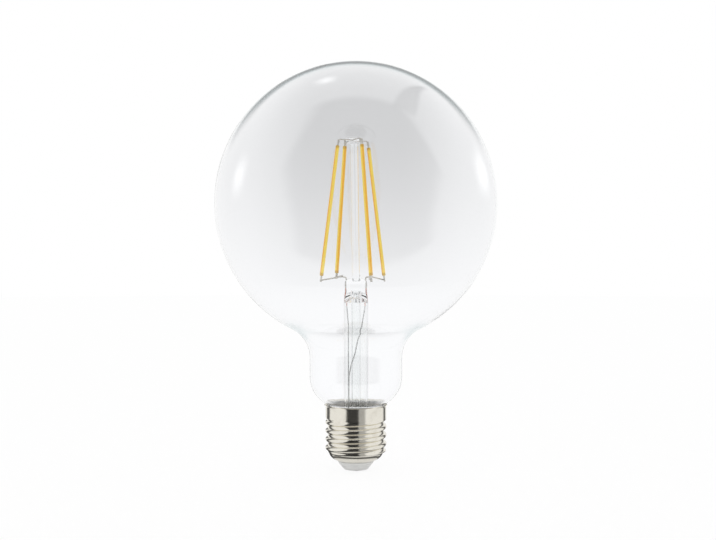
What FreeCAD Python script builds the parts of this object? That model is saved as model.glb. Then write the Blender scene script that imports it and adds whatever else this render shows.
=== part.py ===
import FreeCAD
import Part
import math
import os

# A clear globe lamp with four light-emitting strips in a tapering cage, on a screw cap.
# Millimetres. +Z runs up the axis from the cap to the globe, +X to the right of the front view,
# and the origin is the lowest face of the centre contact.

# Glass envelope
overall_height = 175.2
globe_diameter = 121.0
glass_wall = 0.8
neck_diameter = 39.7
neck_fillet = 14.0
shoulder_radius = 13.0
shoulder_rise = 12.1
throat_fillet = 1.5
throat_depth = 8.9
throat_clearance = 0.25

# Screw cap of nickel-plated brass sheet, 26.4 over a rolled thread of seven to the inch
thread_diameter = 26.4
thread_depth = 1.05
thread_pitch = 3.629
thread_start = 8.07
thread_run_out = 1.2
thread_foot_drop = 1.5
collar_diameter = 26.2
collar_height = 5.4
lip_bend = 1.0
lip_angle = 60.0
foot_bend = 4.5
foot_opening_diameter = 15.2
sheet = 0.3
cap_length = 23.7
foot_inset = 0.3

# Insulator and centre contact
insulator_drop = 3.8
insulator_top_diameter = 15.8
insulator_waist_diameter = 14.4
insulator_waist_share = 0.62
insulator_face_diameter = 10.9
insulator_edge = 0.25
insulator_floor = 2.4
insulator_flange_diameter = 19.0
contact_height = 0.7
contact_diameter = 6.6
contact_face_diameter = 3.8
contact_shank_diameter = 2.4
contact_shank_length = 5.0

# Glass stem: tube, flare, press, exhaust tube and pillar
stem_diameter = 10.4
stem_wall = 0.85
stem_top = 82.6
press_width = 9.8
press_thickness = 4.4
press_length = 5.4
press_corner = 3.0
press_crown_taper = 0.45
press_tip_width = 4.41
press_tip_thickness = 2.2
press_tip_corner = 2.6
closure_length = 5.0
closure_core_share = 0.3
flare_bend = 7.0
flare_angle = 60.0
flare_seam_height = 0.9
flare_rim_round = 0.3
exhaust_diameter = 4.3
exhaust_wall = 0.7
exhaust_tip_height = 18.4
blow_hole_diameter = 1.9
blow_hole_azimuth = -59.0
pillar_diameter = 3.6
pillar_length = 58.5
pillar_seat = 1.2
pillar_foot_offset = 0.15
pillar_lean = 0.8
button_diameter = 6.5
button_thickness = 2.0
button_edge_round = 0.8
button_offset = -1.2
button_wire_depth = 1.69

# Cage of four light-emitting strips
strip_count = 4
coat_length = 56.3
coat_width = 1.75
coat_thickness = 1.55
coat_end_round = 0.35
cage_top_radius = 7.6
cage_bottom_radius = 15.35
cage_turn = 29.0
cage_offset = -1.15
strip_shifts = (-0.35, 0.7, -0.4, -0.2)
substrate_width = 0.9
substrate_thickness = 0.35
chip_count = 28
chip_length = 0.75
chip_width = 0.35
chip_height = 0.18
tab_length = 2.6
tab_width = 1.0
tab_thickness = 0.3
tab_to_button = 2.21
clamp_length = 1.4
clamp_jaw = 0.18

# Wires
seal_wire_diameter = 0.45
seal_wire_offset = 4.0
seal_wire_length = 7.6
seal_wire_drop = 1.4
lead_in_diameter = 0.6
top_wire_diameter = 0.45
outer_lead_diameter = 0.5
knee_rise = 0.5
knee_lean = 0.2
knee_reach = 2.2
knee_lift = 0.3
branch_overrun = 0.6
branch_start_share = 0.7
top_wire_bow = 0.3
lead_in_weld_share = 0.7
branch_weld_share = 0.6
top_weld_share = 0.45
weld_overrun = 1.0
wire_bend = 0.8
lead_entry_inset = 0.6
lead_entry_rise = 1.5

# Driver board inside the cap
board_width = 17.0
board_height = 10.6
board_thickness = 1.0
board_corner = 0.8
board_slot_depth = 1.6
slot_cheek = 0.9
slot_cheek_length = 13.0
rectifier_length = 4.7
rectifier_width = 3.9
rectifier_height = 2.4
rectifier_x = -3.74
ic_length = 4.9
ic_width = 3.9
ic_height = 1.5
ic_x = 4.08
package_rise = 6.57
leg_width = 0.45
leg_thickness = 0.25
leg_reach = 1.0
chip_resistor_length = 2.0
chip_resistor_width = 1.25
chip_resistor_height = 0.55
chip_resistor_count = 2
chip_resistor_pitch = 2.0
chip_resistor_x = 5.1
chip_resistor_rise = 4.45
capacitor_diameter = 5.0
capacitor_length = 7.0
capacitor_x = -1.36
capacitor_lift = 1.2
capacitor_edge = 0.3
capacitor_groove = 0.3
capacitor_groove_rise = 0.9
capacitor_lead_pitch = 2.0
capacitor_lead_drop = 0.8
fuse_diameter = 2.4
fuse_length = 5.6
fuse_end_diameter = 1.7
fuse_end_length = 0.56
fuse_lead_root = 0.28
board_lead_diameter = 0.5
board_lead_bend = 0.5
solder_radius = 0.8
solder_tip_radius = 0.36
lead_pad_near = 0.27
lead_pad_far = 0.41
lead_pad_drop = 1.2
lead_tail = 2.2
side_wire_land = 1.4
side_wire_rise = 3.7
side_wire_share = 0.3
side_wire_knee = 1.0
side_wire_climb = 3.4

# Clearances
seat_gap = 0.04
running_gap = 0.1
weld_gap = 0.15

# Heights and radii that follow from the sizes above
foot_z = contact_height + insulator_drop
lip_z = foot_z + cap_length
throat_z = lip_z - throat_depth
globe_radius = globe_diameter / 2
globe_z = overall_height - globe_radius
neck_radius = neck_diameter / 2
crest_radius = thread_diameter / 2
root_radius = crest_radius - thread_depth
collar_radius = collar_diameter / 2
throat_radius = root_radius - sheet - throat_clearance
stem_radius = stem_diameter / 2
stem_bore_radius = stem_radius - stem_wall
press_foot_z = stem_top - press_length
closure_foot_z = press_foot_z - closure_length
exhaust_radius = exhaust_diameter / 2
exhaust_bore_radius = exhaust_radius - exhaust_wall
button_foot_z = stem_top + pillar_length
button_mid_z = button_foot_z + button_thickness / 2
seal_top_z = closure_foot_z + seal_wire_length - seal_wire_drop
seal_foot_z = closure_foot_z - seal_wire_drop
insulator_top_z = foot_z + insulator_floor
slot_floor_z = insulator_top_z
board_foot_z = slot_floor_z + seat_gap
board_face = board_thickness / 2


def at(x, y, z):
    return FreeCAD.Vector(x, y, z)


def polar(radius, degrees, z):
    angle = math.radians(degrees)
    return at(radius * math.cos(angle), radius * math.sin(angle), z)


def save(name, shape):
    shape.exportStep("parts/" + name + ".step")


def block(length, width, height, centre):
    """A box given by its middle point."""
    corner = centre - at(length / 2, width / 2, height / 2)
    return Part.makeBox(length, width, height, corner)


def rod(radius, start, end):
    return Part.makeCylinder(radius, (end - start).Length, start, end - start)


def arc_by_angles(centre, radius, start, end):
    """An arc in the XZ plane, from one angle in degrees to another."""
    def point(degrees):
        angle = math.radians(degrees)
        return centre + at(radius * math.cos(angle), 0, radius * math.sin(angle))
    return Part.Arc(point(start), point((start + end) / 2), point(end)).toShape()


def line(start, end):
    return Part.LineSegment(start, end).toShape()


def polyline(points):
    return [line(a, b) for a, b in zip(points, points[1:])]


def turned(edges):
    """A solid of revolution from a closed outline in the XZ plane."""
    face = Part.Face(Part.Wire(Part.__sortEdges__(edges)))
    return face.revolve(at(0, 0, 0), at(0, 0, 1), 360)


def rounded_path(points, bend):
    """Straight runs joined by tangent arcs, each as large as its two runs allow."""
    edges = []
    last = points[0]
    for before, corner, after in zip(points, points[1:], points[2:]):
        back = before - corner
        ahead = after - corner
        turn = math.pi - back.getAngle(ahead)
        reach = min(bend * math.tan(turn / 2), 0.45 * min(back.Length, ahead.Length))
        back.normalize()
        ahead.normalize()
        bisector = back + ahead
        bisector.normalize()
        radius = reach / math.tan(turn / 2)
        crown = corner + bisector * (radius / math.cos(turn / 2) - radius)
        enter = corner + back * reach
        leave = corner + ahead * reach
        edges.append(line(last, enter))
        edges.append(Part.Arc(enter, crown, leave).toShape())
        last = leave
    edges.append(line(last, points[-1]))
    return Part.Wire(edges)


def bent_wire(points, diameter, bend=wire_bend):
    """A round wire along a path of straight runs and bends."""
    profile = Part.Wire(Part.makeCircle(diameter / 2, points[0], points[1] - points[0]))
    return rounded_path(points, bend).makePipeShell([profile], True, False)


def channel(points, diameter):
    """The room that a wire takes up in what it is sealed or soldered in."""
    return bent_wire(points, diameter + 2 * seat_gap)


def skin(rings):
    """A smooth tube through rings of points, closed round the axis."""
    around = len(rings[0])
    along = len(rings)
    roundness = 3 / (2 + math.cos(2 * math.pi / around))
    poles = []
    for j in range(around):
        column = []
        for i in range(along):
            point = rings[i][j]
            if 0 < i < along - 1:
                sag = rings[i + 1][j] + rings[i - 1][j] - point * 2
                point = point - sag / 6
            column.append(at(point.x * roundness, point.y * roundness, point.z))
        poles.append(column)
    surface = Part.BSplineSurface()
    knots_around = list(range(around + 1))
    knots_along = list(range(along - 2))
    turns_along = [4] + [1] * (along - 4) + [4]
    surface.buildFromPolesMultsKnots(
        poles, [1] * (around + 1), turns_along, knots_around, knots_along, True, False, 3, 3)
    return surface.toShape()


def end_edge(face, z, nearest):
    """The closed edge of a skin that lies nearest to a height and a radius."""
    def distance(edge):
        point = edge.valueAt(edge.FirstParameter)
        return abs(point.z - z) + abs(math.hypot(point.x, point.y) - nearest)
    closed = [edge for edge in face.Edges if edge.isClosed()]
    return min(closed, key=distance)


def closed_solid(faces):
    shell = Part.Compound(faces)
    shell.sewShape()
    solid = Part.Solid(shell.Shells[0])
    if solid.Volume < 0:
        solid.reverse()
    return solid


# The envelope is blown in one piece: globe, neck, shoulder and the throat that the cap takes.
def envelope_outline(inset):
    """One wall of the envelope, from its pole to the edge of its throat."""
    globe = globe_radius - inset
    neck = neck_radius - inset
    throat = throat_radius - inset
    fillet = neck_fillet + inset
    shoulder = shoulder_radius - inset
    hollow = throat_fillet + inset
    globe_centre = at(0, 0, globe_z)
    shoulder_z = lip_z + shoulder_rise
    shoulder_centre = at(neck_radius - shoulder_radius, 0, shoulder_z)
    fillet_x = neck + fillet
    fillet_z = globe_z - math.sqrt((globe + fillet) ** 2 - fillet_x ** 2)
    fillet_centre = at(fillet_x, 0, fillet_z)
    hollow_x = throat + hollow
    hollow_drop = math.sqrt((shoulder + hollow) ** 2 - (hollow_x - shoulder_centre.x) ** 2)
    hollow_centre = at(hollow_x, 0, shoulder_z - hollow_drop)
    fillet_turn = math.degrees(math.atan2(globe_z - fillet_z, -fillet_x))
    shoulder_turn = math.degrees(math.atan2(-hollow_drop, hollow_x - shoulder_centre.x))
    return [
        arc_by_angles(globe_centre, globe, 90, fillet_turn - 180),
        arc_by_angles(fillet_centre, fillet, fillet_turn, 180),
        line(at(neck, 0, fillet_z), at(neck, 0, shoulder_z)),
        arc_by_angles(shoulder_centre, shoulder, 0, shoulder_turn),
        arc_by_angles(hollow_centre, hollow, shoulder_turn + 180, 180),
        line(at(throat, 0, hollow_centre.z), at(throat, 0, throat_z)),
    ]


def glass_envelope():
    edges = envelope_outline(0) + envelope_outline(glass_wall)
    edges.append(line(at(throat_radius - glass_wall, 0, throat_z), at(throat_radius, 0, throat_z)))
    edges.append(line(at(0, 0, overall_height - glass_wall), at(0, 0, overall_height)))
    return turned(edges)


# The cap is drawn from one sheet, and its thread is rolled in from both sides.
def thread_wave(height):
    """Radius over the mean of the thread: equal arcs for crest and root, tangent to each other."""
    quarter = thread_pitch / 4
    half_angle = 2 * math.atan(thread_depth / (2 * quarter))
    arc = quarter / math.sin(half_angle)
    place = (height + quarter) % thread_pitch - quarter
    side = 1
    if place > quarter:
        place = place - 2 * quarter
        side = -1
    return side * (math.sqrt(arc ** 2 - place ** 2) - arc * math.cos(half_angle))


def ease(share):
    share = max(0.0, min(1.0, share))
    return share * share * (3 - 2 * share)


def cap_stations():
    """The cap's outer skin from lip to foot: radius, height, slope of its normal, share of thread."""
    lip_turn = math.radians(lip_angle)
    collar_top = lip_z - lip_bend * math.sin(lip_turn)
    thread_top = lip_z - collar_height
    foot_centre_z = foot_z + foot_bend
    foot_radius = root_radius - foot_inset
    mean_radius = crest_radius - thread_depth / 2
    fade_foot = foot_centre_z - thread_foot_drop
    foot_turn = math.acos((foot_opening_diameter / 2 - foot_radius + foot_bend) / foot_bend)
    stations = []
    lip_steps = 5
    for step in range(lip_steps):
        turn = lip_turn * (1 - step / lip_steps)
        radius = collar_radius + lip_bend * (1 - math.cos(turn))
        stations.append((radius, collar_top + lip_bend * math.sin(turn), turn, 0))
    collar_steps = 6
    for step in range(collar_steps):
        z = collar_top - (collar_top - thread_top) * step / collar_steps
        stations.append((collar_radius, z, 0, 0))
    steps_a_turn = 12
    thread_steps = round((thread_top - foot_centre_z) * steps_a_turn / thread_pitch)
    for step in range(thread_steps):
        z = thread_top - (thread_top - foot_centre_z) * step / thread_steps
        upper = ease((thread_top - z) / thread_run_out)
        lower = ease((z - fade_foot) / thread_run_out)
        radius = mean_radius + (1 - upper) * (collar_radius - mean_radius)
        radius = radius + (1 - lower) * (foot_radius - mean_radius)
        stations.append((radius, z, 0, upper * lower))
    foot_steps = 10
    for step in range(foot_steps + 1):
        turn = foot_turn * step / foot_steps
        z = foot_centre_z - foot_bend * math.sin(turn)
        lower = ease((z - fade_foot) / thread_run_out)
        radius = foot_radius - foot_bend * (1 - math.cos(turn)) + lower * (mean_radius - foot_radius)
        stations.append((radius, z, turn, lower))
    return stations


def cap_skin(inset):
    around = 40
    rings = []
    for radius, z, turn, share in cap_stations():
        ring = []
        for j in range(around):
            angle = 2 * math.pi * j / around
            wave = share * thread_wave(z - thread_start - thread_pitch * j / around)
            reach = radius + wave - inset * math.cos(turn)
            height = z + inset * math.sin(turn)
            ring.append(at(reach * math.cos(angle), reach * math.sin(angle), height))
        rings.append(ring)
    return skin(rings)


def cap_shell():
    outside = cap_skin(0)
    inside = cap_skin(sheet)
    faces = [outside, inside]
    for z, radius in ((lip_z, collar_radius), (foot_z, foot_opening_diameter / 2)):
        outer_edge = end_edge(outside, z, radius)
        inner_edge = end_edge(inside, z, radius)
        faces.append(Part.makeRuledSurface(outer_edge, inner_edge))
    return closed_solid(faces)


def capping_cement():
    """The ring of cement between the glass throat and the collar of the cap."""
    inner = throat_radius + seat_gap
    outer = collar_radius - sheet - seat_gap
    foot = lip_z - collar_height + sheet
    top = lip_z - lip_bend
    crown = at((inner + outer) / 2, 0, top + (outer - inner) / 4)
    edges = polyline([at(outer, 0, top), at(outer, 0, foot), at(inner, 0, foot), at(inner, 0, top)])
    edges.append(Part.Arc(at(inner, 0, top), crown, at(outer, 0, top)).toShape())
    return turned(edges)


# The insulator is moulded through the open foot of the cap and grips its edge from both sides.
def cap_insulator():
    face = insulator_face_diameter / 2
    waist = insulator_waist_diameter / 2
    brim = insulator_top_diameter / 2
    opening = foot_opening_diameter / 2 - seat_gap
    flange = insulator_flange_diameter / 2
    waist_z = contact_height + (foot_z - contact_height) * insulator_waist_share
    foot_radius = root_radius - foot_inset
    bend = foot_bend - sheet - seat_gap
    bend_centre = at(foot_radius - foot_bend, 0, foot_z + foot_bend)
    turn_in = -math.degrees(math.acos((opening - bend_centre.x) / bend))
    turn_out = -math.degrees(math.acos((flange - bend_centre.x) / bend))
    flange_z = bend_centre.z + bend * math.sin(math.radians(turn_out))
    lower = foot_z - seat_gap
    edges = polyline([
        at(0, 0, contact_height),
        at(face - insulator_edge, 0, contact_height),
        at(face, 0, contact_height + insulator_edge),
        at(waist, 0, waist_z),
        at(brim, 0, lower - insulator_edge),
        at(brim - insulator_edge, 0, lower),
        at(opening, 0, lower),
        at(opening, 0, bend_centre.z + bend * math.sin(math.radians(turn_in))),
    ])
    edges.append(arc_by_angles(bend_centre, bend, turn_in, turn_out))
    edges += polyline([
        at(flange, 0, flange_z),
        at(flange, 0, insulator_top_z),
        at(0, 0, insulator_top_z),
        at(0, 0, contact_height),
    ])
    body = turned(edges)
    cheek_y = board_face + running_gap + slot_cheek / 2
    for side in (-1, 1):
        middle = at(0, side * cheek_y, insulator_top_z + board_slot_depth / 2)
        body = body.fuse(block(slot_cheek_length, slot_cheek, board_slot_depth, middle))
    shank = contact_shank_diameter / 2 + seat_gap
    hole = rod(shank, at(0, 0, 0), at(0, 0, insulator_top_z))
    groove_foot = centre_wire_foot() - at(0, 0, seat_gap)
    groove_top = at(groove_foot.x, groove_foot.y, insulator_top_z + board_slot_depth + 1)
    groove = rod(board_lead_diameter / 2 + seat_gap, groove_foot, groove_top)
    return body.removeSplitter().cut(hole).cut(groove)


def centre_contact():
    """A turned pin: a domed head with a flat face, and a shank pressed into the insulator."""
    face = contact_face_diameter / 2
    head = contact_diameter / 2
    shank = contact_shank_diameter / 2
    seat = contact_height - seat_gap
    shank_top = seat + contact_shank_length
    bulge = at((face + head) / 2 + seat / 4, 0, seat / 3)
    edges = polyline([
        at(0, 0, shank_top + shank), at(0, 0, 0), at(face, 0, 0),
    ])
    edges.append(Part.Arc(at(face, 0, 0), bulge, at(head, 0, seat)).toShape())
    edges += polyline([at(head, 0, seat), at(shank, 0, seat), at(shank, 0, shank_top)])
    edges.append(arc_by_angles(at(0, 0, shank_top), shank, 0, 90))
    return turned(edges)


# The stem: a flared tube, pressed flat at its top round the seal wires, the exhaust tube and the pillar.
def flare_heights():
    """Heights of the flare's rim and of the top of its bend."""
    turn = math.radians(flare_angle)
    rim = throat_z + flare_seam_height
    reach = throat_radius - glass_wall - seat_gap - stem_radius - flare_bend * (1 - math.cos(turn))
    return rim, rim + reach / math.tan(turn) + flare_bend * math.sin(turn)


def stem_ring(half_width, half_thickness, corner, z):
    """A ring of points on a rounded oblong: a corner of 2 is an ellipse, more is squarer."""
    around = 32
    ring = []
    for j in range(around):
        angle = 2 * math.pi * j / around
        c = math.cos(angle)
        s = math.sin(angle)
        x = math.copysign(half_width * abs(c) ** (2 / corner), c)
        y = math.copysign(half_thickness * abs(s) ** (2 / corner), s)
        ring.append(at(x, y, z))
    return ring


def stem_body():
    """The outer form of the stem, from its flared rim to the rounded top of its press."""
    turn = math.radians(flare_angle)
    rim_z, bend_z = flare_heights()
    rim = throat_radius - glass_wall - seat_gap
    wide = press_width / 2
    thick = press_thickness / 2
    rings = []
    for share, round_share in ((1, 0), (0.75, 0), (0.5, 0), (0.25, 0.2), (0, 1)):
        radius = rim - flare_rim_round * round_share
        rings.append(stem_ring(radius, radius, 2, rim_z - flare_seam_height * share))
    bend_steps = 6
    for step in range(bend_steps + 1):
        part = turn * (1 - step / bend_steps)
        radius = stem_radius + flare_bend * (1 - math.cos(part))
        rings.append(stem_ring(radius, radius, 2, bend_z - flare_bend * math.sin(part)))
    tube_steps = 8
    for step in range(1, tube_steps + 1):
        z = bend_z + (closure_foot_z - bend_z) * step / tube_steps
        rings.append(stem_ring(stem_radius, stem_radius, 2, z))
    closure_steps = 5
    for step in range(1, closure_steps + 1):
        share = step / closure_steps
        width = stem_radius + (wide - stem_radius) * ease(share)
        depth = stem_radius + (thick - stem_radius) * ease(share)
        corner = 2 + (press_corner - 2) * share
        rings.append(stem_ring(width, depth, corner, closure_foot_z + closure_length * share))
    crown = press_length / 2
    rings.append(stem_ring(wide, thick, press_corner, stem_top - crown))
    crown_steps = 6
    for step in range(1, crown_steps):
        part = math.pi / 2 * step / crown_steps
        narrow = 1 - press_crown_taper * (1 - math.cos(part))
        z = stem_top - crown * (1 - math.sin(part))
        rings.append(stem_ring(wide * narrow, thick * narrow, press_corner, z))
    rings.append(stem_ring(press_tip_width / 2, press_tip_thickness / 2, press_tip_corner, stem_top))
    outside = skin(rings)
    top = Part.Face(Part.Wire(end_edge(outside, stem_top, 0)))
    bottom = Part.Face(Part.Wire(end_edge(outside, throat_z, rim)))
    return closed_solid([outside, top, bottom])


def stem_cavity():
    """The bore of the tube and the hollow under the flare, closed by a dome round the exhaust tube."""
    turn = math.radians(flare_angle)
    bend_z = flare_heights()[1]
    bend = flare_bend + stem_wall
    bore = stem_bore_radius
    bend_centre = at(stem_radius + flare_bend, 0, bend_z)
    bend_end = bend_centre + at(-bend * math.cos(turn), 0, -bend * math.sin(turn))
    drop = bend_end.z - throat_z + 1
    mouth = at(bend_end.x + drop * math.tan(turn), 0, throat_z - 1)
    dome = closure_foot_z
    ceiling = dome + bore / 2
    edges = polyline([at(0, 0, ceiling), at(0, 0, mouth.z), mouth, bend_end])
    edges.append(arc_by_angles(bend_centre, bend, 180 + flare_angle, 180))
    edges.append(line(at(bore, 0, bend_z), at(bore, 0, dome)))
    shoulder = at(bore * math.sqrt(0.5), 0, dome + bore / 2 * math.sqrt(0.5))
    core = at(bore * closure_core_share, 0, ceiling - bore * 0.02)
    edges.append(Part.Arc(at(bore, 0, dome), shoulder, core).toShape())
    edges.append(line(core, at(0, 0, ceiling)))
    return turned(edges)


def exhaust_outline(inset):
    """One wall of the exhaust tube, from its top to its melted tip."""
    radius = exhaust_radius - inset
    tip_z = exhaust_tip_height + exhaust_radius
    top = press_foot_z - inset
    return polyline([at(0, 0, top), at(radius, 0, top), at(radius, 0, tip_z)]) + [
        arc_by_angles(at(0, 0, tip_z), radius, 0, -90),
        line(at(0, 0, tip_z - radius), at(0, 0, top)),
    ]


def blow_hole(gap):
    """The hole blown through the closure, by which the lamp was pumped."""
    z = closure_foot_z + closure_length / 4
    return rod(blow_hole_diameter / 2 + gap, at(0, 0, z), polar(stem_diameter, blow_hole_azimuth, z))


def exhaust_tube():
    wall = turned(exhaust_outline(0)).cut(turned(exhaust_outline(exhaust_wall)))
    return wall.cut(blow_hole(0))


def pillar_ends():
    foot = at(pillar_foot_offset, 0, stem_top - pillar_seat)
    head = at(pillar_foot_offset - pillar_lean, 0, button_mid_z)
    return foot, head


def stem_tube(wires):
    body = stem_body().cut(stem_cavity())
    foot, head = pillar_ends()
    exhaust_top = at(0, 0, press_foot_z + seat_gap)
    body = body.cut(rod(exhaust_radius + seat_gap, at(0, 0, closure_foot_z), exhaust_top))
    body = body.cut(rod(pillar_diameter / 2 + seat_gap, foot - at(0, 0, seat_gap), head))
    body = body.cut(blow_hole(0))
    for wire in wires:
        body = body.cut(wire)
    return body


def stem_pillar(channels):
    """The glass rod with the flat button that holds the top wires."""
    foot, head = pillar_ends()
    column = rod(pillar_diameter / 2, foot, head)
    button_foot = at(button_offset, 0, button_foot_z)
    button = Part.makeCylinder(button_diameter / 2, button_thickness, button_foot)
    button = button.makeFillet(button_edge_round, [e for e in button.Edges if e.isClosed()])
    body = column.fuse(button)
    for channel in channels:
        body = body.cut(channel)
    return body


# Each strip is a narrow plate with a row of chips, clamped in a metal tab at each end and coated.
def strip_frame(index):
    """The placement of a strip's own frame: X points out of the cage and Z runs up the strip."""
    azimuth = 180 + cage_turn - 90 * index
    radial = polar(1, azimuth, 0)
    rise = math.sqrt(coat_length ** 2 - (cage_bottom_radius - cage_top_radius) ** 2)
    top_z = button_mid_z - tab_to_button + strip_shifts[index]
    top = at(cage_offset, 0, top_z) + radial * cage_top_radius
    bottom = at(cage_offset, 0, top_z - rise) + radial * cage_bottom_radius
    axis = top - bottom
    axis.normalize()
    tangent = polar(1, azimuth + 90, 0)
    outward = tangent.cross(axis)
    rotation = FreeCAD.Rotation(outward, tangent, axis, "ZXY")
    return FreeCAD.Placement((top + bottom) / 2, rotation)


def chip_places():
    span = coat_length - 2 * clamp_length - 2 * coat_end_round
    pitch = span / chip_count
    return [pitch * (k + 0.5) - span / 2 for k in range(chip_count)]


def strip_substrate():
    return block(substrate_thickness, substrate_width, coat_length - 2 * coat_end_round, at(0, 0, 0))


def strip_chips():
    x = (substrate_thickness + chip_height) / 2
    chips = [block(chip_height, chip_width, chip_length, at(x, 0, z)) for z in chip_places()]
    return Part.Compound(chips)


def strip_tab(side):
    """A flat metal tab with two jaws that grip the end of the plate."""
    end = coat_length / 2
    slot = substrate_thickness + 2 * seat_gap
    jaws = block(slot + 2 * clamp_jaw, tab_width, clamp_length, at(0, 0, side * (end - clamp_length / 2)))
    plate = strip_substrate()
    room = block(slot, tab_width, plate.BoundBox.ZLength + 2 * seat_gap, at(0, 0, 0))
    tail = block(tab_thickness, tab_width, tab_length, at(0, 0, side * (end + tab_length / 2)))
    return jaws.cut(room).fuse(tail).removeSplitter()


def strip_coat():
    """The oval coat of silicone, closed round the plate, its chips and the jaws of the tabs."""
    oval = Part.Ellipse(at(0, coat_width / 2, 0), at(coat_thickness / 2, 0, 0), at(0, 0, 0))
    body = Part.Face(Part.Wire(oval.toShape())).extrude(at(0, 0, coat_length))
    body.translate(at(0, 0, -coat_length / 2))
    body = body.makeFillet(coat_end_round, [e for e in body.Edges if e.isClosed()])
    inner = [strip_substrate(), strip_tab(1), strip_tab(-1)] + strip_chips().Solids
    return body.cut(Part.Compound(inner))


def placed(shape, placement):
    copy = shape.copy()
    copy.Placement = placement
    return copy


def tab_weld(index, side, beside, along):
    """A point on the wire that is welded to the edge of a strip's tab."""
    z = side * (coat_length / 2 + along)
    return strip_frame(index).multVec(at(0, beside, z))


# Wires
def seal_wire(side):
    x = side * seal_wire_offset
    return rod(seal_wire_diameter / 2, at(x, 0, seal_foot_z), at(x, 0, seal_top_z))


def knee(side):
    return at(side * (seal_wire_offset + knee_lean), 0, stem_top + knee_rise)


def lead_in_points(side):
    """From the seal wire up out of the press, over a knee and out to the far strip's tab."""
    index = 0 if side < 0 else 2
    beside = (tab_width + lead_in_diameter) / 2 + weld_gap
    weld = tab_weld(index, -1, beside, tab_length * lead_in_weld_share)
    start = at(side * seal_wire_offset, 0, seal_top_z + seat_gap)
    bend = knee(side)
    shoulder = bend + at(side * knee_reach, 0, knee_lift)
    reach = weld - shoulder
    reach.normalize()
    return [start, bend, shoulder, weld + reach * weld_overrun]


def branch_points(side):
    """From the knee of the lead-in wire to the tab of the second strip on that side."""
    index = 1 if side < 0 else 3
    beside = -(tab_width + top_wire_diameter) / 2 - weld_gap
    weld = tab_weld(index, -1, beside, tab_length * branch_weld_share)
    lift = knee_lift + (lead_in_diameter + top_wire_diameter) / 2 + seat_gap
    start = knee(side) + at(side * knee_reach * branch_start_share, 0, lift)
    reach = weld - start
    reach.normalize()
    return [start - reach * branch_overrun, weld + reach * branch_overrun]


def top_wire_points(first, second, side):
    """From one strip's top tab through the button to the next strip's."""
    beside = (tab_width + top_wire_diameter) / 2 + weld_gap
    start = tab_weld(first, 1, beside * side, tab_length * top_weld_share)
    end = tab_weld(second, 1, -beside * side, tab_length * top_weld_share)
    inner = at(button_offset, -side * button_wire_depth, button_mid_z)
    rise = at(0, 0, button_mid_z - start.z)
    fall = at(0, 0, button_mid_z + top_wire_bow - end.z)
    return [start, start + rise, inner, end + fall, end]


def outer_lead_points(side):
    """From the seal wire down the stem, beside the exhaust tube, to the driver board."""
    ring = (stem_bore_radius + exhaust_radius) / 2
    top = seal_foot_z
    fall = top - flare_heights()[1]
    pad = lead_pad(side)
    start = at(side * seal_wire_offset, 0, top - running_gap)
    if side < 0:
        turns = ((178, 0.20), (181, 0.60), (176, 1.0))
    else:
        turns = ((-9, 0.10), (-42, 0.20), (-73, 0.30), (-96, 0.46),
                 (-128, 0.59), (-153, 0.70), (-157, 1.0))
    points = [start] + [polar(ring, degrees, top - fall * share) for degrees, share in turns]
    points.append(polar(ring + lead_entry_inset, turns[-1][0], throat_z + lead_entry_rise))
    return points + [pad + at(0, 0, lead_tail), pad - at(0, 0, solder_radius)]


# Driver board and what it carries, hidden in the cap
def lead_pad(side):
    """The point on the board's front where an outer lead is soldered."""
    x = -board_width * (lead_pad_near if side > 0 else lead_pad_far)
    y = -board_face - board_lead_diameter / 2 - running_gap
    return at(x, y, board_foot_z + board_height - lead_pad_drop)


def driver_board():
    middle = at(0, 0, board_foot_z + board_height / 2)
    board = block(board_width, board_thickness, board_height, middle)
    corners = [e for e in board.Edges if abs(e.BoundBox.YLength - board_thickness) < 0.001]
    return board.makeFillet(board_corner, corners)


def gull_legs(length, count, body_width, height, centre, face):
    """Legs along both long sides of a small package, bent down to the board."""
    legs = []
    pitch = length / count
    for side in (-1, 1):
        for k in range(count):
            x = centre.x + pitch * (k + 0.5) - length / 2
            z = centre.z + side * (body_width / 2 + leg_reach / 2)
            foot = at(x, face * (board_face + seat_gap + leg_thickness / 2), z)
            legs.append(block(leg_width, leg_thickness, leg_reach, foot))
            riser_y = face * (board_face + seat_gap + height / 4 + leg_thickness / 2)
            riser = at(x, riser_y, centre.z + side * (body_width / 2 + leg_thickness / 2))
            legs.append(block(leg_width, height / 2 + leg_thickness, leg_thickness, riser))
    return legs


def package(length, width, height, legs_a_side, centre, face):
    """A moulded body on the board with its legs."""
    middle = at(centre.x, face * (board_face + seat_gap + height / 2), centre.z)
    body = block(length, height, width, middle)
    for leg in gull_legs(length, legs_a_side, width, height, centre, face):
        body = body.fuse(leg)
    return body.removeSplitter()


def bridge_rectifier():
    centre = at(rectifier_x, 0, board_foot_z + package_rise)
    return package(rectifier_length, rectifier_width, rectifier_height, 2, centre, 1)


def driver_ic():
    centre = at(ic_x, 0, board_foot_z + package_rise)
    return package(ic_length, ic_width, ic_height, 4, centre, 1)


def chip_resistors():
    y = -board_face - seat_gap - chip_resistor_height / 2
    chips = []
    for k in range(chip_resistor_count):
        z = board_foot_z + chip_resistor_rise + k * chip_resistor_pitch
        middle = at(chip_resistor_x, y, z)
        chips.append(block(chip_resistor_length, chip_resistor_height, chip_resistor_width, middle))
    return Part.Compound(chips)


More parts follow.
